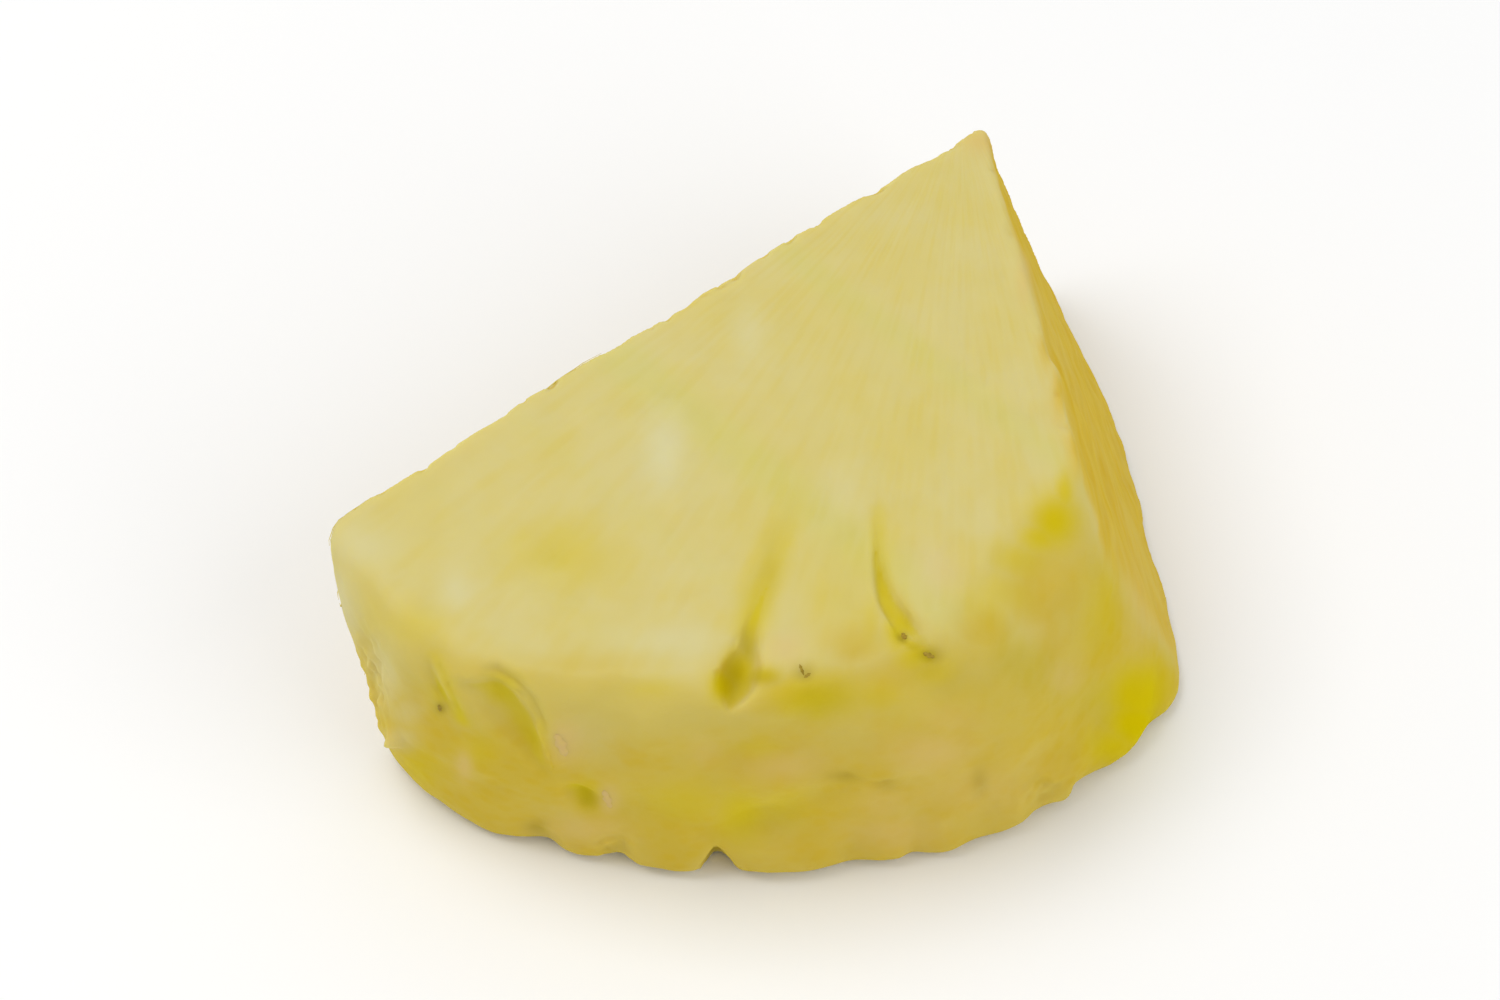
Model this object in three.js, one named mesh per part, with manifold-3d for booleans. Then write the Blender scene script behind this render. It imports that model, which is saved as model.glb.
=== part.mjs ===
// A wedge slice of fresh pineapple, peeled and cut by hand, lying on one of its two sliced faces.
// The wedge runs from the pale core at its tip to the trimmed rim, where the skin and the eyes were
// cut away.
// Millimetres, +Z up. X runs across the wedge, +Y from the rim towards the core tip.
// The origin is the middle of the footprint, on the surface that the slice lies on.

import * as THREE from "three";
import { mergeVertices } from "three/addons/utils/BufferGeometryUtils.js";
import Module from "manifold-3d";

const wasm = await Module();
wasm.setup();

// Driving sizes of the slice.
const thickness = 20;
const rimBulge = 1.0;
const cutEdgeRadius = 0.4;
const lowerEdgeRadius = 1.2;

// The corners of the two sliced faces, in plan and clockwise as seen from above, measured from where the
// core tip of the upper face would be if it were sharp: x, y and how far from the corner its rounding
// begins. soft is the radius of the upper edge there, and run is the steps to the next corner. The knife
// leaned, so the lower face lies further right.
const corners = [
  { name: "tip", upper: [0.4, 1.8, 1.0], lower: [4.6, 4.6, 1.8], soft: cutEdgeRadius, run: 8 },
  {
    name: "right cut bow",
    upper: [2.6, -9.0, 5.0],
    lower: [10.3, -8.8, 6.0],
    soft: cutEdgeRadius,
    run: 11,
  },
  { name: "right", upper: [6.4, -29.8, 3.6], lower: [13.9, -30.4, 4.5], soft: 5.0, run: 8 },
  { name: "right heel", upper: [-0.4, -43.0, 6.0], lower: [2.8, -41.6, 7.0], soft: 6.0, run: 16 },
  { name: "rim middle", upper: [-18.5, -45.4, 7.0], lower: [-14.0, -45.4, 8.0], soft: 2.4, run: 14 },
  { name: "left heel", upper: [-36.2, -43.0, 5.5], lower: [-31.6, -42.6, 7.0], soft: 2.2, run: 9 },
  { name: "left", upper: [-41.9, -31.6, 1.4], lower: [-38.8, -34.2, 2.4], soft: 1.2, run: 14 },
  {
    name: "long cut bow",
    upper: [-12.8, -8.2, 6.0],
    lower: [-8.6, -7.4, 6.0],
    soft: cutEdgeRadius,
    run: 8,
  },
];
const firstRimCorner = 2;
const lastRimCorner = 6;
const roundSteps = 8;

// Steps up the wall, round its two edges and in across the upper face.
const wallSteps = 12;
const lowerEdgeSteps = 3;
const upperEdgeSteps = 6;
const capRings = 7;

// Facets of the tools that cut the furrows, and how much of a tool stands proud of the flesh.
const toolSides = 12;
const toolSteps = 18;
const toolProud = 0.5;

// Where two lobes of the trimmed rim meet, across the slice: at its foot and at its shoulder.
const footValleys = [-39.5, -28.2, -23.6, -17.2, -8.8, -4.6, -0.2, 3.4, 6.6, 11, 14];
const shoulderValleys = [-43, -35.2, -31.4, -23.6, -16.6, -11, -3.4, 3.6, 9.6];
const footLift = 1.0;
const shoulderLift = 0.6;
const lobeReach = 0.42;

// Soft dents and swellings of the rim: across the slice, below the upper face, width, height and lift.
const rimForms = [
  [-14.4, 6.0, 4.6, 2.2, -0.8],
  [-13.4, 9.6, 5.0, 1.7, 0.45],
  [-14.8, 13.6, 4.2, 2.4, -0.8],
  [-10.4, 2.8, 3.4, 1.8, -0.7],
  [-21.5, 4.5, 4.0, 4.0, 0.5],
  [-27.6, 7.0, 2.2, 5.0, 0.7],
  [-34.6, 11.0, 4.0, 4.6, 0.5],
  [-5.4, 6.0, 4.2, 4.2, 0.45],
  [1.6, 8.0, 4.0, 6.0, 0.5],
  [5.0, 1.6, 1.8, 2.2, -1.0],
  [-36.8, 14.0, 2.6, 6.0, 0.9],
  [-28.6, 18.4, 1.4, 3.0, -0.7],
  [-26.4, 17.6, 2.2, 4.0, -0.5],
  [-22.4, 12.0, 3.6, 3.0, -0.45],
  [-6.0, 13.2, 3.6, 2.8, -0.4],
];

const mix = (a, b, t) => a + (b - a) * t;
const smooth = (t) => {
  const c = THREE.MathUtils.clamp(t, 0, 1);
  return c * c * (3 - 2 * c);
};

// Soft unevenness of the hand-cut upper face.
function sliceWave(x, y) {
  return 0.16 * Math.sin(0.11 * x + 0.07 * y + 0.6) + 0.07 * Math.sin(0.23 * x - 0.19 * y + 1.9);
}

// Soft unevenness of the two long knife cuts from tip to rim.
function cutWave(x, y, z) {
  return 0.07 * Math.sin(0.2 * x + 0.26 * y + 0.3 * z) + 0.05 * Math.sin(0.5 * y - 0.42 * z + 1.1);
}

// One round lobe between each two valleys: 0 in a valley and 1 halfway between two.
function lobe(x, valleys) {
  const next = valleys.findIndex((valley) => valley > x);
  if (next < 1) return 0;
  const share = (x - valleys[next - 1]) / (valleys[next] - valleys[next - 1]);
  return Math.sin(Math.PI * share) ** 0.7;
}

// How far the trimmed rim stands out from its plain outline.
function rimLumps(x, height) {
  const up = height / thickness;
  const foot = footLift * lobe(x, footValleys) * smooth(1 - up / lobeReach);
  const shoulder = shoulderLift * lobe(x, shoulderValleys) * smooth(1 - (1 - up) / lobeReach);
  const forms = rimForms.map(([across, below, width, tall, lift]) => {
    const dx = (x - across) / width;
    const dz = (height - (thickness - below)) / tall;
    return lift * Math.exp(-2 * (dx * dx + dz * dz));
  });
  return foot + shoulder + forms.reduce((sum, lift) => sum + lift, 0);
}

// The outline of the slice at a share of its height: 0 is the lower face and 1 the upper face.
// Each point says how far it belongs to the rim, and the radius of the upper edge there.
function outlineAt(share) {
  const at = corners.map(({ lower, upper }) => lower.map((value, i) => mix(value, upper[i], share)));
  const points = [];
  corners.forEach(({ soft, run }, i) => {
    const next = (i + 1) % corners.length;
    const [x, y, round] = at[i];
    const corner = new THREE.Vector2(x, y);
    const before = new THREE.Vector2(...at.at(i - 1));
    const after = new THREE.Vector2(...at[next]);
    const start = before.clone().sub(corner).setLength(round).add(corner);
    const end = after.clone().sub(corner).setLength(round).add(corner);
    const far = corner.clone().sub(after).setLength(at[next][2]).add(after);
    const isRim = i >= firstRimCorner && i <= lastRimCorner;
    new THREE.QuadraticBezierCurve(start, corner, end).getPoints(roundSteps).forEach((point, step) => {
      let rim = isRim ? 1 : 0;
      if (i === firstRimCorner) rim = smooth(step / roundSteps);
      if (i === lastRimCorner) rim = 1 - smooth(step / roundSteps);
      points.push({ point, rim, edge: mix(cutEdgeRadius, soft, rim) });
    });
    for (let step = 1; step < run; step += 1) {
      const rim = isRim && i < lastRimCorner ? 1 : 0;
      const edge = mix(cutEdgeRadius, mix(soft, corners[next].soft, step / run), rim);
      points.push({ point: end.clone().lerp(far, step / run), rim, edge });
    }
  });
  points.forEach((entry, i) => {
    const ahead = points[(i + 1) % points.length].point;
    const behind = points.at(i - 1).point;
    const tangent = ahead.clone().sub(behind).normalize();
    // Seen from above, the outline runs clockwise, so outwards is on the left of its tangent.
    entry.outward = new THREE.Vector2(-tangent.y, tangent.x);
  });
  return points;
}

// How far a rounded edge of a radius draws in the wall, at a distance from the face that it meets.
function edgeInset(radius, distance) {
  const sunk = Math.max(0, radius - distance);
  return radius - Math.sqrt(radius ** 2 - sunk ** 2);
}

// A ring of the wall at a height above the lower face.
function wallRing(height) {
  const share = height / thickness;
  return outlineAt(share).map(({ point, rim, edge, outward }) => {
    const standsOut = rimBulge * Math.sin(Math.PI * share) + rimLumps(point.x, height);
    const lowerEdge = mix(cutEdgeRadius, lowerEdgeRadius, rim);
    const inset = edgeInset(edge, thickness - height) + edgeInset(lowerEdge, height);
    const push = mix(cutWave(point.x, point.y, height), standsOut, rim) - inset;
    const { x, y } = point.clone().addScaledVector(outward, push);
    return new THREE.Vector3(x, y, height + sliceWave(x, y) * share);
  });
}

// The heights of the rings: close together round both edges, even between them.
function ringHeights() {
  const widest = Math.max(...corners.map(({ soft }) => soft));
  const rounding = (radius, steps) =>
    [...Array(steps).keys()].map((step) => radius * (1 - Math.cos((step / steps) * (Math.PI / 2))));
  const wall = [...Array(wallSteps).keys()].map((step) =>
    mix(lowerEdgeRadius, thickness - widest, step / (wallSteps - 1)),
  );
  const upper = rounding(widest, upperEdgeSteps).map((height) => thickness - height);
  return [...rounding(lowerEdgeRadius, lowerEdgeSteps), ...wall, ...upper.reverse()];
}

// The closed body of the slice before the furrows and pits are cut in it.
function sliceBody() {
  const rings = ringHeights().map(wallRing);
  const rim = rings.at(-1);
  const count = rim.length;
  const centre = rim.reduce((sum, p) => sum.add(p), new THREE.Vector3()).divideScalar(count);
  for (let ring = 1; ring < capRings; ring += 1) {
    const share = ring / capRings;
    rings.push(
      rim.map((p) => {
        const x = mix(p.x, centre.x, share);
        const y = mix(p.y, centre.y, share);
        return new THREE.Vector3(x, y, thickness + sliceWave(x, y));
      }),
    );
  }
  const points = rings.flat();
  const crown = thickness + sliceWave(centre.x, centre.y);
  const top = points.push(new THREE.Vector3(centre.x, centre.y, crown)) - 1;
  const foot = points.push(new THREE.Vector3(centre.x, centre.y, 0)) - 1;
  const index = [];
  for (let ring = 0; ring + 1 < rings.length; ring += 1) {
    for (let i = 0; i < count; i += 1) {
      const a = ring * count + i;
      const b = ring * count + ((i + 1) % count);
      index.push(a, a + count, b, b, a + count, b + count);
    }
  }
  const last = (rings.length - 1) * count;
  for (let i = 0; i < count; i += 1) {
    const next = (i + 1) % count;
    index.push(foot, i, next);
    index.push(last + i, top, last + next);
  }
  const geometry = new THREE.BufferGeometry().setFromPoints(points);
  return geometry.setIndex(index);
}

// The point of the rim's surface at a place across the slice, some way below the upper face.
function onRim(x, below) {
  const height = THREE.MathUtils.clamp(thickness - below, lowerEdgeRadius, thickness - cutEdgeRadius);
  const rims = outlineAt(height / thickness).map(({ rim }) => rim);
  const ring = wallRing(height);
  const found = ring.findIndex((p, i) => rims[i] > 0.5 && (p.x - x) * (ring[i + 1].x - x) <= 0);
  const [a, b] = [ring[found], ring[found + 1]];
  const point = a.clone().lerp(b, (x - a.x) / (b.x - a.x));
  return point.setZ(thickness - below);
}

// The point of the upper face at a place in plan.
const onSlice = (x, y) => new THREE.Vector3(x, y, thickness + sliceWave(x, y));

// A long closed tool that follows a line of points and cuts a furrow with sloping lips. The furrow is
// widest at a share of its length, and has its width and depth there.
function tool({ line, width, depth, inward, widest = 0.5 }) {
  const path = new THREE.CatmullRomCurve3(line);
  const geometry = new THREE.SphereGeometry(1, toolSides, toolSteps);
  const positions = geometry.getAttribute("position");
  const inwards = new THREE.Vector3(...inward).normalize();
  const bias = Math.log(0.5) / Math.log(widest);
  const halfWidth = width / 2 / Math.sqrt(1 - toolProud ** 2);
  const fullDepth = depth / (1 - toolProud);
  for (let i = 0; i < positions.count; i += 1) {
    const unit = new THREE.Vector3().fromBufferAttribute(positions, i);
    const share = Math.acos(THREE.MathUtils.clamp(unit.y, -1, 1)) / Math.PI;
    const centre = path.getPoint(share);
    const side = new THREE.Vector3().crossVectors(inwards, path.getTangent(share)).normalize();
    const size = Math.sin(Math.PI * share ** bias);
    const round = Math.hypot(unit.x, unit.z) || 1;
    centre.addScaledVector(side, (unit.x / round) * size * halfWidth);
    centre.addScaledVector(inwards, (unit.z / round - toolProud) * size * fullDepth);
    positions.setXYZ(i, centre.x, centre.y, centre.z);
  }
  return geometry;
}

// Ways into the flesh: back from the rim, over its shoulder, and aslant, so that one lip hangs over.
const back = [0, 1, 0];
const overEdge = [0, 0.6, -1];
const underRightLip = [0.8, 0.8, 0];
const overUnderRightLip = [0.6, 0.6, -1];

// The furrows between the fruitlets, and the pits that the eyes left.
const furrows = [
  {
    line: [
      onSlice(-11.4, -27.6),
      onSlice(-13.1, -34),
      onSlice(-14.8, -39.6),
      onRim(-15.8, 0.6),
      onRim(-16.4, 1.8),
    ],
    width: 1.6,
    depth: 0.9,
    widest: 0.7,
    inward: overEdge,
  },
  {
    line: [
      onSlice(-14.8, -39.2),
      onSlice(-15.1, -41.2),
      onSlice(-15.5, -42.8),
      onRim(-16.0, 0.7),
      onRim(-16.3, 2.1),
    ],
    width: 2.6,
    depth: 1.7,
    widest: 0.62,
    inward: overEdge,
  },
  {
    line: [
      onSlice(-6.9, -27.6),
      onSlice(-7.0, -34.6),
      onSlice(-6.3, -38.0),
      onRim(-5.0, 0.3),
      onRim(-2.9, 1.5),
    ],
    width: 1.3,
    depth: 1.2,
    widest: 0.6,
    inward: overUnderRightLip,
  },
  {
    line: [onRim(-35.6, 0.6), onRim(-34.9, 2.6), onRim(-34.2, 4.4), onRim(-33.2, 6.6)],
    width: 1.3,
    depth: 0.9,
    inward: back,
  },
  {
    line: [
      onRim(-33.8, 1.4),
      onRim(-31.4, 2.2),
      onRim(-29.8, 5.0),
      onRim(-28.6, 7.6),
      onRim(-27.4, 10.0),
    ],
    width: 2.8,
    depth: 1.5,
    widest: 0.4,
    inward: underRightLip,
  },
  {
    line: [onRim(-26.8, 9.4), onRim(-25.7, 11.4), onRim(-25.0, 14.2)],
    width: 1.8,
    depth: 0.9,
    inward: underRightLip,
  },
  {
    line: [onRim(-17.2, 14.6), onRim(-17.2, 17.6), onRim(-17.1, 21.0)],
    width: 2.7,
    depth: 2.6,
    widest: 0.75,
    inward: back,
  },
];

// The closed solid of a geometry, with its shared points merged.
function solidFrom(geometry) {
  const bare = new THREE.BufferGeometry().setAttribute("position", geometry.getAttribute("position"));
  bare.setIndex(geometry.index);
  const merged = mergeVertices(bare, 1e-4);
  return new wasm.Manifold(
    new wasm.Mesh({
      numProp: 3,
      vertProperties: new Float32Array(merged.getAttribute("position").array),
      triVerts: new Uint32Array(merged.index.array),
    }),
  );
}

// The geometry of a closed solid.
function geometryFrom(solid) {
  const { vertProperties, triVerts } = solid.getMesh();
  const geometry = new THREE.BufferGeometry();
  geometry.setAttribute("position", new THREE.BufferAttribute(vertProperties, 3));
  geometry.setIndex(new THREE.BufferAttribute(triVerts, 1));
  return geometry;
}

// The slice with its furrows and pits, moved so that the middle of its footprint is the origin.
function carvedSlice() {
  let solid = solidFrom(sliceBody());
  for (const furrow of furrows) solid = solid.subtract(solidFrom(tool(furrow)));
  const geometry = geometryFrom(solid);
  geometry.computeBoundingBox();
  const middle = geometry.boundingBox.getCenter(new THREE.Vector3());
  return geometry.translate(-middle.x, -middle.y, -geometry.boundingBox.min.z);
}

const flesh = new THREE.MeshStandardMaterial({ color: 0xd9c96f, roughness: 0.38, metalness: 0 });

const slice = new THREE.Mesh(carvedSlice(), flesh);
slice.name = "slice";

const pineappleSlice = new THREE.Group();
pineappleSlice.add(slice);

export default pineappleSlice;
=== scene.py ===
import math

import bmesh
import bpy
import numpy as np
from mathutils import Matrix, Vector
from mathutils.bvhtree import BVHTree


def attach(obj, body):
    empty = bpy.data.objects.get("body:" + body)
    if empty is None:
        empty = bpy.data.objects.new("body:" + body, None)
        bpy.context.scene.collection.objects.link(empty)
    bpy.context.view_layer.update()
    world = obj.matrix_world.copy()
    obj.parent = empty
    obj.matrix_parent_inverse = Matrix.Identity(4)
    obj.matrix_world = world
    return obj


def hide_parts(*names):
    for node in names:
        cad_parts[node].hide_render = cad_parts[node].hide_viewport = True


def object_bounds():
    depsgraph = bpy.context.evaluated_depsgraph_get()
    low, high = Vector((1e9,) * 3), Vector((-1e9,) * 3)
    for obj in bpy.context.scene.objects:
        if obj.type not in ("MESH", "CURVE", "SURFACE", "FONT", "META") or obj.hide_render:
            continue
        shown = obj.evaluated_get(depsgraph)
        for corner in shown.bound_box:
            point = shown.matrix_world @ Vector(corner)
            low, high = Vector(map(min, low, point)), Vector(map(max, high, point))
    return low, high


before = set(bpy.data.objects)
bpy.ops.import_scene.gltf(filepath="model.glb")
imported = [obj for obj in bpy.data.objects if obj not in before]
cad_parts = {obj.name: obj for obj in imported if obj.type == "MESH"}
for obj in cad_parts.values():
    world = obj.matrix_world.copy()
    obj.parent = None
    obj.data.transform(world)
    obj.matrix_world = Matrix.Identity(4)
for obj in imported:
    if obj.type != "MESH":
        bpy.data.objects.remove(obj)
cad_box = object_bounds()
mm = 0.001


# The view
# The slice is looked down on from the angle of the photograph, and from so far that its lines stay nearly
# parallel. The small marks on the flesh are found again through this view, by their place in the photograph.

core_tip = Vector((14.25, 21.1, 20.0)) * mm
core_tip_pixel = (780, 269)
view_centre_pixel = (675, 434)
view_width_pixels = 667
pixel_size = 0.143 * mm
view_elevation = math.radians(52)
view_distance = 0.45
nearest_shown = 0.01

sideways = Vector((1, 0, 0))
upwards = Vector((0, math.sin(view_elevation), math.cos(view_elevation)))
backwards = Vector((0, -math.cos(view_elevation), math.sin(view_elevation)))
view_right = (view_centre_pixel[0] - core_tip_pixel[0]) * pixel_size
view_nearer = (view_centre_pixel[1] - core_tip_pixel[1]) * pixel_size / math.sin(view_elevation)
aim = core_tip + Vector((view_right, -view_nearer, 0))
eye = aim + backwards * view_distance


def placed(name, data):
    """A new object with some data, linked to the scene."""
    thing = bpy.data.objects.new(name, data)
    bpy.context.scene.collection.objects.link(thing)
    return thing


camera_data = bpy.data.cameras.new("camera")
camera_data.lens = camera_data.sensor_width * view_distance / (view_width_pixels * pixel_size)
camera_data.clip_start = nearest_shown
camera = placed("camera", camera_data)
camera.matrix_world = Matrix.Translation(eye) @ backwards.to_track_quat("Z", "Y").to_matrix().to_4x4()
bpy.context.scene.camera = camera


# The flesh
# One wedge of fresh, ripe pineapple. Its fibres and juice sacs run outwards from the pale core at the tip to
# the rim, where the skin and the eyes were trimmed off and soft lobes and furrows are left.
# A kitchen knife cut it out of the fruit, so its faces are flat but never quite smooth.

flesh_grain = 0.25 * mm

# The axis of the whole fruit stands at this place in X and Y. The rim starts some way out from it.
fruit_axis = (13.2 * mm, 24.1 * mm)
fruit_radius = 42 * mm
rim_starts = 24 * mm
rim_is_full = 31 * mm

# Relaxing moves each point towards its neighbours' mean, so the more rounds it has, the wider it smooths.
relax_share = 0.5
surface_rounds = 2
cut_rounds = 6
rim_rounds = 12
facet_rounds = 14
wide_rounds = 40
near_rim_rounds = 90

# How directly a point faces outwards on the rim, up or down on a sliced face and left on the long cut, and
# how far a ridge stands out and a furrow sinks in: where each begins to count and where it is full.
out_on_rim = (0.2, 0.6)
up_on_faces = (0.3, 0.6)
left_on_long_cut = (0, 0.3)
ridge_stands = (0.1 * mm, 0.3 * mm)
furrow_sinks = (0.03 * mm, 0.2 * mm)

# Soft marks in the flesh: the middle of each in the photograph, how far it reaches across and down in pixels
# of the photograph, and its strength. These four kinds turn the flesh ripe yellow, pale, pinkish and brown;
# the brown is partly painted shade.
ripe_marks = (
    ((592, 457), (24, 16), 0.26), ((527, 488), (12, 9), 0.2), ((632, 517), (12, 5), 0.16),
    ((673, 498), (5, 9), 0.55), ((669, 508), (6, 10), 0.9), ((663, 517), (6, 7), 0.9),
    ((681, 512), (8, 4), 0.6), ((704, 521), (20, 9), 0.55), ((730, 521), (16, 7), 0.25),
    ((741, 492), (6, 9), 0.65), ((749, 503), (7, 5), 0.6), ((757, 510), (12, 8), 0.3),
    ((716, 470), (26, 26), 0.14), ((760, 525), (30, 12), 0.16), ((680, 545), (9, 6), 0.2),
    ((671, 573), (12, 13), 0.48), ((688, 570), (14, 10), 0.25), ((646, 568), (20, 10), 0.3),
    ((565, 517), (8, 7), 0.3), ((582, 540), (6, 8), 0.25), ((603, 566), (5, 8), 0.5),
    ((728, 484), (5, 14), 0.25), ((665, 560), (7, 5), 0.12),
    ((537, 520), (4, 8), 0.25), ((553, 545), (10, 7), 0.25), ((527, 553), (10, 10), 0.25),
    ((848, 520), (13, 14), 1.0), ((846, 533), (12, 11), 1.0), ((836, 543), (12, 9), 0.65),
    ((832, 485), (12, 24), 0.25), ((810, 443), (10, 11), 0.75), ((815, 431), (4, 9), 0.55),
    ((803, 451), (9, 7), 0.6), ((793, 460), (12, 8), 0.35), ((730, 395), (50, 45), 0.06),
    ((783, 476), (14, 12), 0.25), ((748, 504), (8, 6), 0.5),
)
pale_marks = (
    ((637, 412), (10, 20), 0.9), ((674, 361), (9, 14), 0.5), ((500, 455), (20, 12), 0.6),
    ((640, 497), (30, 8), 0.5), ((692, 497), (8, 8), 0.3), ((757, 465), (10, 12), 0.5),
    ((716, 430), (12, 13), 0.4), ((545, 474), (7, 9), 0.6), ((494, 480), (10, 30), 0.7),
    ((512, 510), (12, 20), 0.5), ((520, 540), (8, 6), 0.4), ((650, 370), (60, 25), 0.12),
    ((602, 541), (13, 12), 0.25), ((522, 528), (8, 8), 0.35),
)
blush_marks = (
    ((778, 274), (9, 6), 0.6), ((797, 335), (3, 12), 0.5), ((592, 542), (7, 9), 0.8),
    ((612, 568), (5, 8), 0.7), ((756, 546), (22, 11), 0.6), ((690, 552), (18, 8), 0.5),
    ((548, 552), (4, 8), 0.7), ((815, 513), (10, 8), 0.4), ((775, 562), (40, 14), 0.35),
    ((740, 582), (24, 10), 0.5), ((600, 581), (20, 8), 0.5), ((691, 499), (9, 7), 0.5),
    ((848, 480), (8, 26), 0.25), ((760, 465), (10, 12), 0.3), ((764, 532), (17, 10), 0.4),
    ((735, 568), (14, 10), 0.4), ((655, 547), (7, 6), 0.25),
)
# The brown marks: dry remains of the eyes and creases, and painted shade in the pit, along the furrows,
# under the lip of the gash and on the rim past the end of the second furrow.
stain_and_shade_marks = (
    ((743, 495), (3, 3), 0.6), ((749, 499), (5, 3), 0.3), ((755, 503), (6, 4), 0.55),
    ((699, 511), (5, 4), 0.35), ((537, 527), (3, 3), 0.5), ((580, 579), (5, 3), 0.4),
    ((667, 512), (6, 10), 0.35), ((674, 499), (4, 7), 0.35), ((681, 513), (8, 4), 0.35),
    ((684, 465), (4, 12), 0.12), ((755, 509), (12, 7), 0.15),
    ((603, 567), (4, 6), 0.25), ((717, 557), (8, 3), 0.35), ((736, 560), (6, 3), 0.25),
    ((777, 559), (4, 6), 0.35), ((765, 515), (14, 9), 0.15), ((706, 520), (18, 9), 0.12),
    ((563, 515), (6, 6), 0.1),
)

# Where the trimmed rim's tones run in over the edge of the upper face, and where the worn right edge of that
# face has the tone of the cut beside it.
shoulder_marks = (
    ((808, 474), (26, 26), 1.0), ((780, 494), (20, 16), 0.9), ((740, 515), (34, 14), 0.7),
    ((690, 522), (30, 12), 0.6), ((600, 506), (60, 9), 0.5), ((823, 436), (6, 16), 0.2),
    ((722, 500), (20, 15), 0.7),
)
edge_marks = (((807, 365), (3, 12), 0.7), ((813, 385), (4, 14), 0.9), ((820, 410), (5, 16), 0.9))

# Where the solid's furrows and gash are smoothed away, so that their lips are soft or a crease takes over,
# and where the flesh is torn.
soft_marks = (
    ((684, 470), (14, 26), 1.0), ((680, 510), (6, 14), 0.4), ((537, 518), (9, 16), 0.4),
    ((572, 528), (15, 18), 1.0), ((585, 545), (10, 12), 1.0), ((738, 474), (8, 28), 0.4),
)
torn_marks = (((507, 515), (6, 28), 1.2), ((806, 562), (30, 8), 0.6), ((614, 589), (12, 6), 0.8))
mark_depth = 6 * mm

# Creases in the flesh: their course in the photograph, how wide they are on the left and on the right of
# someone who goes along it, how deep they are, and how ripe their start and end are. Widths and depths are
# in mm. In order: at the left of the rim, low on the rim, the two furrows and the upper lip of the gash.
creases = (
    (
        ((534, 505), (538, 514), (542, 523), (546, 532)),
        (0.4, 0.4), 0.2, (0.2, 0.45),
    ),
    (
        ((713, 555), (722, 558), (731, 560), (742, 557)),
        (0.3, 0.3), 0.12, (0.0, 0.0),
    ),
    (
        ((697, 426), (693, 438), (688, 450), (685, 462), (679, 478), (674, 495)),
        (0.75, 0.75), 0.15, (0.05, 0.55),
    ),
    (
        ((731, 438), (731, 452), (732, 464), (734, 479), (742, 494), (752, 504)),
        (0.5, 0.3), 0.25, (0.25, 0.6),
    ),
    (
        ((552, 510), (562, 510), (570, 516), (577, 525), (582, 536), (584, 543)),
        (0.5, 1.8), 0.6, (0.0, 0.1),
    ),
)

# A crease deepens over the first share of its length and fades from another share on. Its ripe tone spreads
# wider than the crease itself.
stops_for_each_corner = 12
crease_deepens_until = 0.2
crease_fades_from = 0.75
ripe_spread = 1.6

# Low waves of the surface: their size and height in mm, and their seed. Those of the fibres have three
# sizes: round the fruit, outwards and up.
fibre_waves = (((1.7, 15, 1.9), 0.05, 1), ((0.7, 7, 0.8), 0.03, 2))
knife_waves = ((2.6, 0.05, 3), (1.1, 0.03, 4))
lobe_waves = ((3.4, 0.18, 5), (1.6, 0.08, 6), (0.75, 0.02, 7))
fibres_on_faces = 0.6

# Nicks along the ridges, where the unevenness is strong enough, and the ragged flesh where it is torn.
nick_size = 0.9 * mm
nick_depth = 0.3 * mm
nick_begins, nick_is_full = 0.2, 0.8
nick_seed = 8
torn_size = 0.7 * mm
torn_height = 0.35 * mm
torn_sunk = 0.25 * mm
torn_seed = 9

# How far points stray from their places, on the faces and on the rim, in X, Y and Z.
stray_size = 1.9 * mm
stray_on_faces = 0.16 * mm
stray_on_rim = 0.06 * mm
stray_seeds = (11, 12, 13)

# A small torn tooth of flesh at the left of the rim, which points left and down in the photograph.
tooth_pixel = (518, 540)
tooth_radius = 0.5 * mm
tooth_length = 0.9 * mm
tooth_left, tooth_down = 0.8, 0.6
tooth_way = np.array(sideways * -tooth_left - upwards * tooth_down)

# Large odd numbers that mix a cell's place and a seed into what looks like chance.
cell_mixers = (73856093, 19349663, 83492791)
seed_mixer = 2654435761
last_mixer = 1274126177


def finished(piece):
    """A new mesh of a piece with its modifiers applied."""
    graph = bpy.context.evaluated_depsgraph_get()
    return bpy.data.meshes.new_from_object(piece.evaluated_get(graph))


def read(mesh, part, field, width):
    """One field of a mesh's vertices or edges as an array."""
    items = getattr(mesh, part)
    kind = np.int32 if part == "edges" else np.float32
    values = np.empty(len(items) * width, kind)
    items.foreach_get(field, values)
    return values.reshape(-1, width).astype(np.int64 if part == "edges" else float)


def relaxed(values, rounds):
    """Rows of numbers at the vertices, after some rounds of relaxing."""
    own, other = edges.ravel(), edges[:, ::-1].ravel()
    count = np.bincount(own, minlength=len(values))
    values = values.copy()
    for _ in range(rounds):
        for column in values.T:
            mean = np.bincount(own, weights=column[other], minlength=len(column)) / count
            column += relax_share * (mean - column)
    return values


def spread(shares, rounds):
    """One number at each vertex, after some rounds of relaxing."""
    return relaxed(shares[:, None], rounds)[:, 0]


def eased(values, low, high):
    """0 below low, 1 above high, and a smooth step between them."""
    share = np.clip((values - low) / (high - low), 0, 1)
    return share * share * (3 - 2 * share)


def unevenness(places, size, seed):
    """Soft random hills and hollows, from -1 to 1 and about a size across, at places in space."""
    cells = places / size
    corner = np.floor(cells).astype(np.int64)
    inside = cells - corner
    blend = inside * inside * (3 - 2 * inside)
    total = np.zeros(len(places))
    for step in np.ndindex(2, 2, 2):
        mixed = ((corner + step) * cell_mixers).sum(1) + seed * seed_mixer
        mixed = (mixed ^ (mixed >> 13)) * last_mixer
        height = ((mixed ^ (mixed >> 16)) & 0xFFFF) / 0x7FFF - 1
        total += height * np.prod(np.where(step, blend, 1 - blend), axis=1)
    return total


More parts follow.
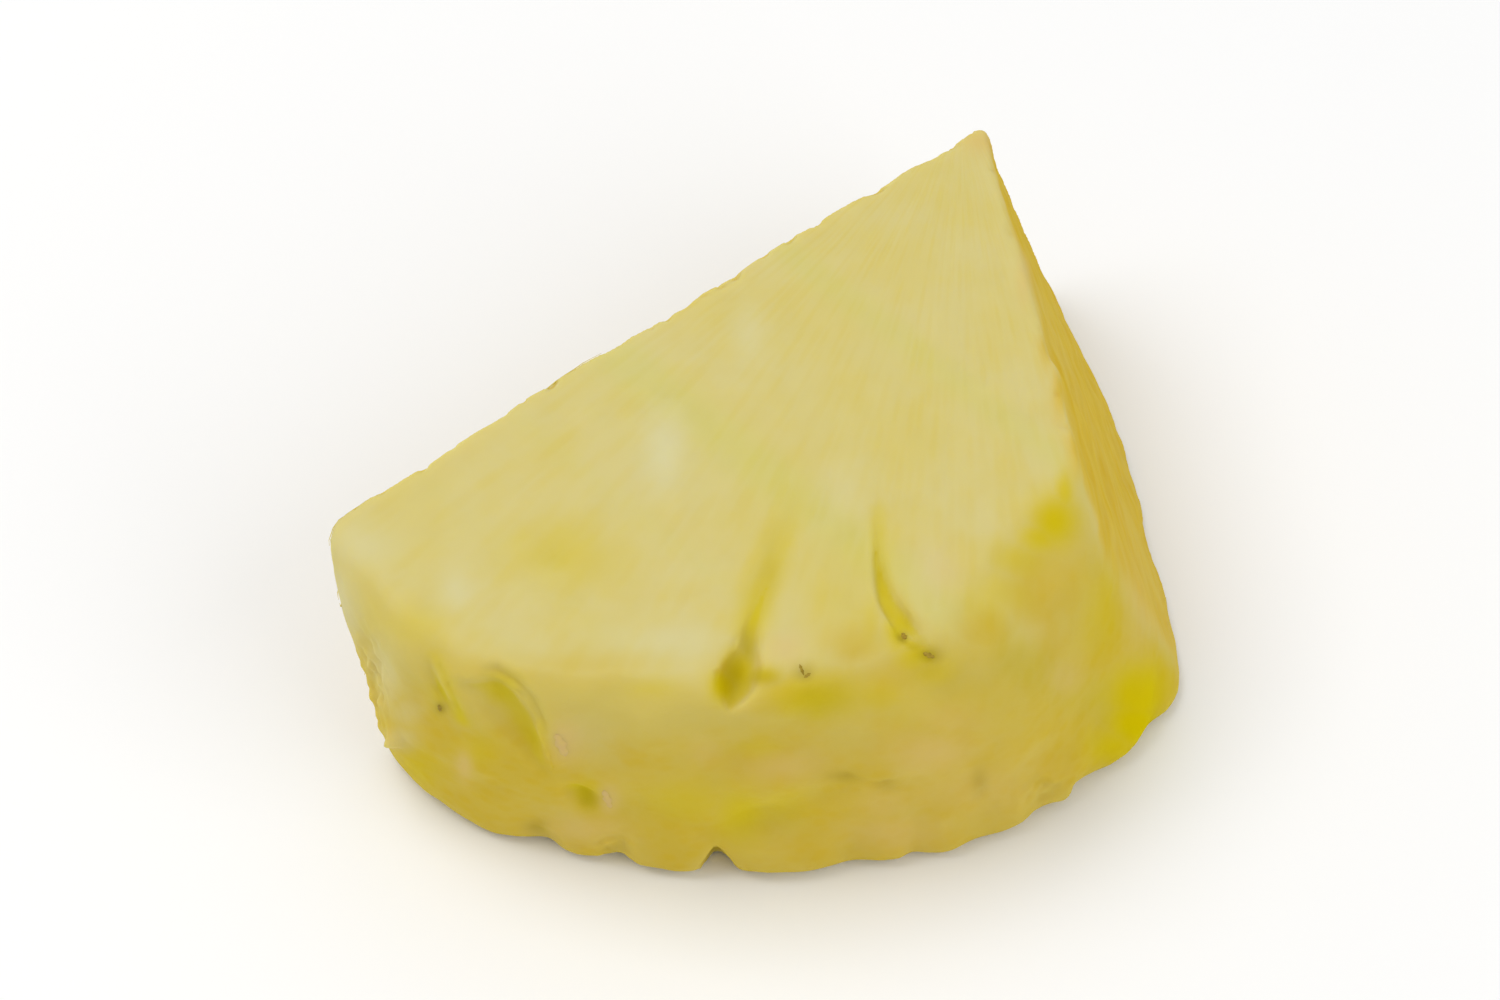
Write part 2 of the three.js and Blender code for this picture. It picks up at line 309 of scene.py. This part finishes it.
def waves(places, rows):
    """How far the surface stands out at places, from waves of several sizes."""
    return sum(unevenness(places, np.array(size) * mm, seed) * height * mm for size, height, seed in rows)


def round_fruit(places):
    """Places as round the fruit, outwards from its core, and up. Fibres are long in the second direction."""
    x, y = places[:, 0] - fruit_axis[0], places[:, 1] - fruit_axis[1]
    return np.column_stack([np.arctan2(x, -y) * fruit_radius, np.hypot(x, y), places[:, 2]])


def through_pixel(across, down):
    """The direction from the eye through a pixel of the photograph."""
    right = (across - view_centre_pixel[0]) * pixel_size
    up = (view_centre_pixel[1] - down) * pixel_size
    return (aim + sideways * right + upwards * up - eye).normalized()


def seen_at(pixel):
    """The place on the slice that shows at a pixel of the photograph."""
    place = surface_tree.ray_cast(eye, through_pixel(*pixel))[0]
    if place is None:
        raise ValueError(f"no flesh shows at pixel {pixel}")
    return place


def marked(marks):
    """How strongly each point of the flesh lies in any of some soft marks."""
    total = np.zeros(len(points))
    for pixel, (wide, high), strength in marks:
        depth = (eye - seen_at(pixel)).dot(backwards)
        away = (pixels_across - pixel[0]) ** 2 / wide ** 2 + (pixels_down - pixel[1]) ** 2 / high ** 2
        away += (depths - depth) ** 2 / mark_depth ** 2
        total = np.maximum(total, strength * np.exp(-away))
    return np.clip(total, 0, 1)


rough_cut = placed("rough_cut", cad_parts["slice"].data.copy())
remesh = rough_cut.modifiers.new("fine_grain", "REMESH")
remesh.mode = "VOXEL"
remesh.voxel_size = flesh_grain
flesh_mesh = finished(rough_cut)
bpy.data.objects.remove(rough_cut)

points = read(flesh_mesh, "vertices", "co", 3)
edges = read(flesh_mesh, "edges", "vertices", 2)
normals = read(flesh_mesh, "vertices", "normal", 3)
surface_tree = BVHTree.FromPolygons(points.tolist(), [p.vertices[:] for p in flesh_mesh.polygons])

# How much each point belongs to the rim and to an upright cut, from the way that it faces.
outward = np.column_stack([points[:, 0] - fruit_axis[0], points[:, 1] - fruit_axis[1]])
radius = np.hypot(*outward.T)
outward /= radius[:, None]
facing_out = (outward * normals[:, :2]).sum(1) * eased(radius, rim_starts, rim_is_full)
facing_up_or_down = np.abs(normals[:, 2])
rim = spread(eased(facing_out, *out_on_rim), rim_rounds)
cut = spread(1 - eased(facing_up_or_down, *up_on_faces), cut_rounds) * (1 - rim)

# The knife's facets on the rim are eased, and the whole surface a little.
points = points + (relaxed(points, facet_rounds) - points) * rim[:, None]
points = relaxed(points, surface_rounds)

# How far a point stands out of its neighbourhood, which is below 0 in furrows and pits.
wide_mean = relaxed(points, wide_rounds)
wide_normals = relaxed(normals, wide_rounds)
standing = ((points - wide_mean) * normals).sum(1)
ridge = eased(standing, *ridge_stands)
furrow = eased(-standing, *furrow_sinks)

# Where each point shows in the photograph, and what marks it lies in.
to_eye = np.array(eye) - points
depths = to_eye @ np.array(backwards)
pixels_across = view_centre_pixel[0] - to_eye @ np.array(sideways) * view_distance / depths / pixel_size
pixels_down = view_centre_pixel[1] + to_eye @ np.array(upwards) * view_distance / depths / pixel_size
torn = marked(torn_marks)
shoulder = marked(shoulder_marks)
ripe = marked(ripe_marks)
cut = np.maximum(cut, marked(edge_marks))
long_cut = cut * eased(-normals[:, 0], *left_on_long_cut)
points += (wide_mean - points) * marked(soft_marks)[:, None]

crease_depth = np.zeros(len(points))
for course, (left, right), depth, ripe_ends in creases:
    corners = np.array(course, float)
    stops = np.linspace(0, len(corners) - 1, stops_for_each_corner * len(corners))
    across, down = (np.interp(stops, range(len(corners)), column) for column in corners.T)
    line = np.array([seen_at(pixel) for pixel in zip(across, down)])
    distances = np.linalg.norm(points[:, None] - line, axis=2)
    nearest = distances.argmin(1)
    on_the_right = np.gradient(across)[nearest] * (pixels_down - down[nearest])
    on_the_right -= np.gradient(down)[nearest] * (pixels_across - across[nearest])
    away = distances.min(1) / (np.where(on_the_right > 0, right, left) * mm)
    share_along = nearest / (len(line) - 1)
    tapered = eased(share_along, 0, crease_deepens_until) * (1 - eased(share_along, crease_fades_from, 1))
    crease_depth += np.exp(-away ** 2) * tapered * depth * mm
    ripe_along = np.interp(share_along, (0, 1), ripe_ends)
    ripe = np.maximum(ripe, np.exp(-(away / ripe_spread) ** 2) * ripe_along)

from_tooth = np.linalg.norm(points - np.array(seen_at(tooth_pixel)), axis=1)
stray = np.column_stack([unevenness(points, stray_size, seed) for seed in stray_seeds])
stray *= stray_on_faces + (stray_on_rim - stray_on_faces) * rim[:, None]
face_relief = waves(round_fruit(points), fibre_waves) * (fibres_on_faces + cut + long_cut)
face_relief += waves(points, knife_waves)
nicked = eased(unevenness(points, nick_size, nick_seed), nick_begins, nick_is_full)
nicks = -ridge * nicked * nick_depth
nicks += torn * (unevenness(points, torn_size, torn_seed) * torn_height - torn_sunk)
push = face_relief * (1 - rim) + waves(points, lobe_waves) * rim + nicks

points -= wide_normals * crease_depth[:, None]
points += normals * push[:, None] + stray
points += tooth_way * tooth_length * np.exp(-(from_tooth / tooth_radius) ** 2)[:, None]
points[:, 2] = np.clip(points[:, 2], cad_box[0].z, None)
flesh_mesh.vertices.foreach_set("co", points.astype(np.float32).ravel())
flesh_mesh.update()

masks = {
    "rim": rim,
    "near_rim": np.maximum(spread(rim, near_rim_rounds), shoulder),
    "shoulder": shoulder,
    "cut": cut,
    "long_cut": long_cut,
    "furrow": furrow,
    "ripe": ripe,
    "pale": marked(pale_marks),
    "blush": marked(blush_marks),
    # Brown stains, and painted shade in the pit, the furrows and the gash.
    "stain_and_shade": marked(stain_and_shade_marks),
}
for name, values in masks.items():
    layer = flesh_mesh.attributes.new(name, "FLOAT", "POINT")
    layer.data.foreach_set("value", values.astype(np.float32))
flesh_mesh.shade_smooth()

flesh = placed("slice_flesh", flesh_mesh)
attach(flesh, "root")
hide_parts("slice")


class Wash:
    """A number, colour or place that a material works out at each point. Python's signs add Math nodes."""

    def __init__(self, tree, socket):
        self.tree = tree
        self.socket = socket

    def node(self, kind, settings, sockets, out=0):
        """Any other node, with its settings and then the values or links of its sockets."""
        made = self.tree.nodes.new(kind)
        for name, value in settings.items():
            setattr(made, name, value)
        for name, value in sockets.items():
            if isinstance(value, Wash):
                self.tree.links.new(value.socket, made.inputs[name])
            else:
                made.inputs[name].default_value = value
        return Wash(self.tree, made.outputs[out])

    def maths(self, operation, first, second):
        return self.node("ShaderNodeMath", {"operation": operation}, {0: first, 1: second})

    def __add__(self, other):
        return self.maths("ADD", self, other)

    def __sub__(self, other):
        return self.maths("SUBTRACT", self, other)

    def __rsub__(self, other):
        return self.maths("SUBTRACT", other, self)

    def __mul__(self, other):
        return self.maths("MULTIPLY", self, other)

    def __truediv__(self, other):
        return self.maths("DIVIDE", self, other)

    __radd__ = __add__
    __rmul__ = __mul__

    def between(self, low, high):
        """0 below low, 1 above high, and a smooth step between them."""
        settings = {"interpolation_type": "SMOOTHSTEP"}
        return self.node("ShaderNodeMapRange", settings, {"Value": self, "From Min": low, "From Max": high})

    def colour(self, none, full):
        """A colour that turns from none to full as this value goes from 0 to 1."""
        factor, first, second, result = 0, 6, 7, 2
        sockets = {factor: self, first: none, second: full}
        return self.node("ShaderNodeMix", {"data_type": "RGBA"}, sockets, result)

    def place(self):
        """The place of the point on its object."""
        return self.node("ShaderNodeTexCoord", {}, {}, "Object")

    def stretched(self, size):
        """This place, with its axes measured in steps of a size."""
        steps = tuple(1 / s for s in size)
        return self.node("ShaderNodeVectorMath", {"operation": "MULTIPLY"}, {0: self, 1: steps})

    def cells(self, size, smoothness):
        """Cells about a size across: 0 in the middle of each and up to 1 where they meet."""
        settings = {"feature": "SMOOTH_F1"}
        sockets = {"Vector": self.stretched(size), "Scale": 1.0, "Smoothness": smoothness}
        return self.node("ShaderNodeTexVoronoi", settings, sockets)

    def noise(self, size, detail=2.0):
        """Noise at this place, about a size across in each direction."""
        sockets = {"Vector": self.stretched(size), "Scale": 1.0, "Detail": detail}
        return self.node("ShaderNodeTexNoise", {}, sockets)

    def into(self, shader, socket):
        """Feeds this into a socket of the shader."""
        self.tree.links.new(self.socket, shader.inputs[socket])


def tone(red, green, blue):
    """A colour of the photograph, 0 to 255, as light."""
    light = [((c / 255 + 0.055) / 1.055) ** 2.4 for c in (red, green, blue)]
    return (*light, 1.0)


def new_finish(name, constants):
    """A material whose shader has some constants, and the wrapper that the rest is built on."""
    finish = bpy.data.materials.new(name)
    finish.use_nodes = True
    shader = finish.node_tree.nodes["Principled BSDF"]
    for socket, value in constants.items():
        shader.inputs[socket].default_value = value
    return finish, shader, Wash(finish.node_tree, None)


cream = tone(209, 195, 126)
straw = tone(208, 189, 92)
whitish = tone(210, 203, 155)
lime = tone(201, 195, 103)
gold = tone(201, 159, 14)
barley = tone(209, 174, 56)
wheat = tone(203, 185, 98)
tan = tone(202, 177, 74)
honey = tone(200, 170, 44)
olive = tone(190, 174, 58)
ripe_gold = tone(205, 184, 0)
pinkish = tone(212, 183, 112)
# The brown of the stains, which also paints shade in the pit, the furrows and the gash.
stain_and_shade_olive = tone(150, 126, 30)

# Sizes of the patterns in the flesh. Three different ones are round the fruit, outwards and up.
fibre_size = (1.5 * mm, 16 * mm, 1.6 * mm)
stripe_size = (2.4 * mm, 22 * mm, 1.7 * mm)
cell_size = (0.9 * mm, 4.5 * mm, 1.0 * mm)
grain_size = (0.35 * mm, 2.2 * mm, 0.4 * mm)
cloud_size = (4.5 * mm,) * 3
lime_size = (6 * mm,) * 3
sac_size = (0.5 * mm,) * 3

# How far the lime tinges are shifted, in metres, how much detail the noise has, and how soft the cells are.
lime_shift = 0.3
lime_detail = 1.0
rich_detail = 3.0
cell_smoothness = 0.4

# Where each pattern begins to show, and where it shows in full.
fibres_show = (0.38, 0.66)
clouds_show = (0.35, 0.65)
blotches_show = (0.36, 0.62)
limes_show = (0.5, 0.7)
stripes_show = (0.4, 0.62)
walls_show = (0.2, 0.6)
sacs_show = (0.3, 0.7)
rim_tones_show = (0.1, 0.9)

# How strongly each pattern tints the tone under it, and how much more on the long cut.
fibre_tint = 0.12
cloud_tint = 0.4
lime_tint = 0.5
wall_tint = 0.15
more_wall_tint = 0.3
stripe_tint = 0.4
more_stripe_tint = 0.5
blotch_tint = 0.7
furrow_tint = 0.6

# The trimmed rim turns tan over some depth below a height, and so does its shoulder in part. Its lime tinges
# are olive, in full from a share of that depth on.
tan_starts = 19.8 * mm
tan_deepens_over = 8 * mm
shoulder_tan = 0.8
olive_is_full = 0.5
olive_tint = 0.5

# Relief that is too fine for the mesh. The sliced faces have less of it than the cuts.
bump_strength = 0.25
bump_height = 0.12 * mm
cell_bump = 0.5
bump_on_faces = 0.3

# How rough the wettest flesh is, and how much rougher the driest.
wet_roughness = 0.3
drier_by = 0.16

flesh_finish, shader, wash = new_finish("pineapple_flesh", {
    "Subsurface Weight": 0.5,
    "Subsurface Radius": (1.0, 0.85, 0.4),
    "Subsurface Scale": 1.5 * mm,
    "Specular IOR Level": 0.0,
})
place = wash.place()
x, y, z = (wash.node("ShaderNodeSeparateXYZ", {}, {0: place}, axis) for axis in range(3))
from_axis_x = x - fruit_axis[0]
from_axis_y = fruit_axis[1] - y
turn = wash.maths("ARCTAN2", from_axis_x, from_axis_y)
reach = wash.maths("POWER", from_axis_x * from_axis_x + from_axis_y * from_axis_y, 0.5)
along = wash.node("ShaderNodeCombineXYZ", {}, {0: turn * fruit_radius, 1: reach, 2: z})
shares = {name: wash.node("ShaderNodeAttribute", {"attribute_name": name}, {}, "Fac") for name in masks}

fibres = along.noise(fibre_size).between(*fibres_show)
clouds = place.noise(cloud_size, rich_detail).between(*clouds_show)
blotches = place.noise(cloud_size, rich_detail).between(*blotches_show)
stripes = along.noise(stripe_size, rich_detail).between(*stripes_show)
cells = along.cells(cell_size, cell_smoothness)
walls = cells.between(*walls_show)
below_face = (tan_starts - z) / tan_deepens_over

# The lime tinges lie in slanting layers, because one number stands for all three of their coordinates.
slant = (x + y + z) / 3 + lime_shift
limes = slant.noise(lime_size, lime_detail).between(*limes_show)

# The tones of the upper face, of the cuts and of the trimmed rim.
face = (fibres * fibre_tint + clouds * cloud_tint).colour(cream, straw)
face = (limes * lime_tint).colour(face, lime)
face = (walls * wall_tint).colour(face, whitish)
side = (stripes * (shares["long_cut"] * more_stripe_tint + stripe_tint)).colour(barley, gold)
side = (walls * (shares["long_cut"] * more_wall_tint + wall_tint)).colour(side, wheat)
low = wash.maths("MAXIMUM", below_face.between(0, 1), shares["shoulder"] * shoulder_tan)
trimmed = low.colour(wheat, tan)
trimmed = (blotches * low * blotch_tint).colour(trimmed, honey)
trimmed = (limes * below_face.between(0, olive_is_full) * olive_tint).colour(trimmed, olive)
trimmed = (walls * wall_tint).colour(trimmed, wheat)

# All three together, with the furrows and the marks over them. A ripe mark is as full as if laid on twice.
surface = shares["cut"].colour(face, side)
surface = shares["near_rim"].between(*rim_tones_show).colour(surface, trimmed)
surface = (shares["furrow"] * furrow_tint).colour(surface, ripe_gold)
surface = (shares["ripe"] * (2 - shares["ripe"])).colour(surface, ripe_gold)
surface = shares["pale"].colour(surface, whitish)
surface = shares["blush"].colour(surface, pinkish)
# Brown stains over all, some of them painted shade in the pit, the furrows and the gash.
surface = shares["stain_and_shade"].colour(surface, stain_and_shade_olive)

grain = along.noise(grain_size, rich_detail)
sacs = place.noise(sac_size, rich_detail)
grain_share = shares["cut"] * (1 - bump_on_faces) + bump_on_faces
height = (grain - cells * cell_bump) * grain_share * (1 - shares["rim"]) + sacs * shares["rim"]
sockets = {"Strength": bump_strength, "Distance": bump_height, "Height": height}
bump = wash.node("ShaderNodeBump", {}, sockets)
moist = sacs.between(*sacs_show) * drier_by + wet_roughness

surface.into(shader, "Base Color")
moist.into(shader, "Roughness")
bump.into(shader, "Normal")
flesh.data.materials.clear()
flesh.data.materials.append(flesh_finish)


# Eye flecks
# Dry brown remains of the eyes, left in the furrows and creases when the fruit was peeled. Each is a thin
# chip that is grown into the flesh along a short line.

# The ends of each fleck in the photograph, and its width in mm.
eye_flecks = (
    (((743, 493), (744, 496)), 0.45), (((752, 502), (757, 504)), 0.4), (((697, 507), (699, 512)), 0.25),
    (((699, 513), (702, 511)), 0.25), (((537, 525), (537, 528)), 0.4),
)
fleck_sunk = 0.3
fleck_thickness = 0.5
fleck_brown = tone(168, 142, 52)
fleck_dark = tone(140, 116, 32)
fleck_speck = 0.3 * mm
specks_show = (0.35, 0.65)

# A sliver is an oval whose width wobbles, by a wave that runs some radians along it and is shifted by some
# more from each sliver to the next. sliver_end is the square of the share of its width that its ends keep.
sliver_sides = 8
sliver_stops = 9
sliver_wobble = 0.3
wobble_turn = 17
wobble_shift = 5
sliver_end = 0.02

trimmed_flesh = BVHTree.FromPolygons(points.tolist(), [p.vertices[:] for p in flesh_mesh.polygons])


def skin(shape, rings):
    """Adds the faces between rings of vertices, and those that close both ends."""
    for ring, following in zip(rings, rings[1:]):
        for side in range(len(ring)):
            after = (side + 1) % len(ring)
            shape.faces.new((ring[side], ring[after], following[after], following[side]))
    shape.faces.new(rings[0][::-1])
    shape.faces.new(rings[-1])


def piece_from(shape, name):
    """A smooth piece in the scene, made from a shape that is then let go."""
    mesh = bpy.data.meshes.new(name)
    bmesh.ops.recalc_face_normals(shape, faces=shape.faces)
    shape.to_mesh(mesh)
    shape.free()
    mesh.shade_smooth()
    return placed(name, mesh)


def grown_on(name, slivers, sunk, thickness):
    """A piece made of slivers that lie along lines on the flesh, partly sunk into it.

    How far they are sunk and how thick they are is given as a share of their width.
    """
    shape = bmesh.new()
    stops = np.linspace(0, 1, sliver_stops)
    for number, ((start, end), width) in enumerate(slivers):
        line = []
        for stop in stops:
            across, down = (np.interp(stop, (0, 1), ends) for ends in zip(start, end))
            middle, facing, _, _ = trimmed_flesh.ray_cast(eye, through_pixel(across, down))
            line.append((stop, middle, facing))
        forward = (line[-1][1] - line[0][1]).normalized()
        rings = []
        for stop, middle, facing in line:
            beside = forward.cross(facing).normalized()
            wobble = 1 + sliver_wobble * math.sin(wobble_turn * stop + wobble_shift * number)
            oval = math.sqrt(max(1 - (2 * stop - 1) ** 2, sliver_end))
            half = width * mm / 2 * oval * wobble
            centre = middle - facing * half * sunk
            ring = []
            for side in range(sliver_sides):
                turn = math.tau * side / sliver_sides
                corner = centre + beside * half * math.cos(turn) + facing * half * thickness * math.sin(turn)
                ring.append(shape.verts.new(corner))
            rings.append(ring)
        skin(shape, rings)
    return piece_from(shape, name)


def speckled(name, speck_size, light, dark, constants):
    """A finish that wanders between two tones, in specks about a size across."""
    finish, shader, wash = new_finish(name, constants)
    specks = wash.place().noise((speck_size,) * 3).between(*specks_show)
    specks.colour(light, dark).into(shader, "Base Color")
    return finish


flecks = grown_on("eye_flecks", eye_flecks, fleck_sunk, fleck_thickness)
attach(flecks, "root")
flecks.data.materials.append(
    speckled("dry_brown_fleck", fleck_speck, fleck_brown, fleck_dark, {
        "Roughness": 0.6,
        "Specular IOR Level": 0.1,
        "Subsurface Weight": 0.3,
        "Subsurface Radius": (1.0, 0.7, 0.3),
        "Subsurface Scale": 0.3 * mm,
    })
)


# Bract bits
# Ends of the pinkish white bracts, the small leaves over each eye, that the peeling knife cut through.
# They stay in the ridges of the rim as small firm ovals.

# The ends of each bit in the photograph, and its width in mm.
bract_bits = ((((589, 538), (593, 548)), 0.8), (((610, 563), (613, 571)), 0.6))
bract_sunk = 0.2
bract_thickness = 0.3
bract_yellowish = tone(208, 180, 104)
bract_pinkish = tone(206, 176, 110)
bract_speck = 0.5 * mm

bracts = grown_on("bract_bits", bract_bits, bract_sunk, bract_thickness)
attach(bracts, "root")
bracts.data.materials.append(
    speckled("pinkish_bract", bract_speck, bract_yellowish, bract_pinkish, {
        "Roughness": 0.45,
        "Specular IOR Level": 0.1,
    })
)


# Loose fibres
# Tough pale fibres of the flesh, on the long cut face, that the knife tore free instead of cutting. One end
# of each is still grown in, and the rest lies on the wet cut.

fibre_count = 50
fibre_seed = 5
fibre_sides = 5
fibre_stops = 8
fibre_pale = tone(212, 190, 100)
fibre_yellow = tone(206, 178, 62)
fibre_speck = 2 * mm

# Lengths and thicknesses in mm, the usual bend as a share of the length, and in mm how far the tip rises
# above the root and how deep the root is sunk. A fibre tapers by a power, and its tip keeps some thickness.
shortest_fibre, longest_fibre = 2, 6
thinnest_fibre, thickest_fibre = 0.07, 0.13
fibre_bend = 0.18
fibre_lift = 0.12
root_sunk = 0.02
fibre_tip = 0.08
fibre_taper = 0.6

# How clearly a root stands on the long cut, how high above the slice's foot and how far from the fruit's
# axis, all at least, and how often its fibre points outwards instead of to the core.
root_on_cut = 0.7
root_height = 2 * mm
root_radius = 8 * mm
outward_chance = 0.5
draw = np.random.default_rng(fibre_seed)


def strand(shape, middles, thickness):
    """A round strand through some points, tapered to a fine end."""
    rings = []
    for number, middle in enumerate(middles):
        ahead = middles[min(number + 1, len(middles) - 1)] - middles[max(number - 1, 0)]
        across = ahead.orthogonal().normalized()
        other = ahead.cross(across).normalized()
        half = thickness / 2 * max(1 - number / (len(middles) - 1), fibre_tip) ** fibre_taper
        ring = []
        for side in range(fibre_sides):
            turn = math.tau * side / fibre_sides
            corner = middle + (across * math.cos(turn) + other * math.sin(turn)) * half
            ring.append(shape.verts.new(corner))
        rings.append(ring)
    skin(shape, rings)


fibres_shape = bmesh.new()
roots = np.flatnonzero((long_cut > root_on_cut) & (points[:, 2] > root_height) & (radius > root_radius))
for root in draw.choice(roots, fibre_count):
    start = Vector(points[root])
    along_flesh = Vector((*outward[root], 0)) * (1 if draw.random() < outward_chance else -1)
    beside = Vector(normals[root]).cross(along_flesh)
    long = draw.uniform(shortest_fibre, longest_fibre) * mm
    bend = draw.normal(0, fibre_bend)
    middles = []
    for share in np.linspace(0, 1, fibre_stops):
        lies_at = start + along_flesh * long * share + beside * long * bend * share ** 2
        on_flesh, facing, _, _ = trimmed_flesh.find_nearest(lies_at)
        middles.append(on_flesh + facing * (fibre_lift * share - root_sunk) * mm)
    strand(fibres_shape, middles, draw.uniform(thinnest_fibre, thickest_fibre) * mm)

loose_fibres = piece_from(fibres_shape, "loose_fibres")
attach(loose_fibres, "root")
loose_fibres.data.materials.append(
    speckled("pale_fibre", fibre_speck, fibre_pale, fibre_yellow, {
        "Roughness": 0.4,
        "Specular IOR Level": 0.1,
        "Subsurface Weight": 0.5,
        "Subsurface Radius": (1.0, 0.8, 0.4),
        "Subsurface Scale": 0.6 * mm,
    })
)


# The floor and the light
# A plain pale sweep under the slice, lit by one broad soft lamp from above left, a weaker one from the front
# right and a bright room.

floor_half = 1.5
floor_drop = 0.2 * mm
room_light = 0.61

# The name of each lamp, where it stands, and its size and power.
lamps = (
    ("key_light", (-0.33, 0.03, 0.68), 0.5, 2.5),
    ("fill_light", (0.5, -0.4, 0.5), 0.6, 1.5),
)

floor_mesh = bpy.data.meshes.new("floor")
corners = [(-floor_half, -floor_half, 0), (floor_half, -floor_half, 0)]
corners += [(floor_half, floor_half, 0), (-floor_half, floor_half, 0)]
floor_mesh.from_pydata(corners, [], [(0, 1, 2, 3)])
floor = placed("floor", floor_mesh)
floor.location.z = -floor_drop
floor_finish, _, _ = new_finish("pale_floor", {"Base Color": (0.93, 0.93, 0.925, 1), "Roughness": 0.9})
floor_mesh.materials.append(floor_finish)

for name, stands_at, size, power in lamps:
    lamp_data = bpy.data.lights.new(name, "AREA")
    lamp_data.size = size
    lamp_data.energy = power
    lamp = placed(name, lamp_data)
    lamp.location = stands_at
    lamp.rotation_mode = "QUATERNION"
    lamp.rotation_quaternion = Vector(stands_at).to_track_quat("Z", "Y")

world = bpy.data.worlds.new("room")
world.use_nodes = True
world.node_tree.nodes["Background"].inputs["Color"].default_value = (1, 1, 1, 1)
world.node_tree.nodes["Background"].inputs["Strength"].default_value = room_light
bpy.context.scene.world = world
bpy.context.scene.view_settings.view_transform = "Standard"
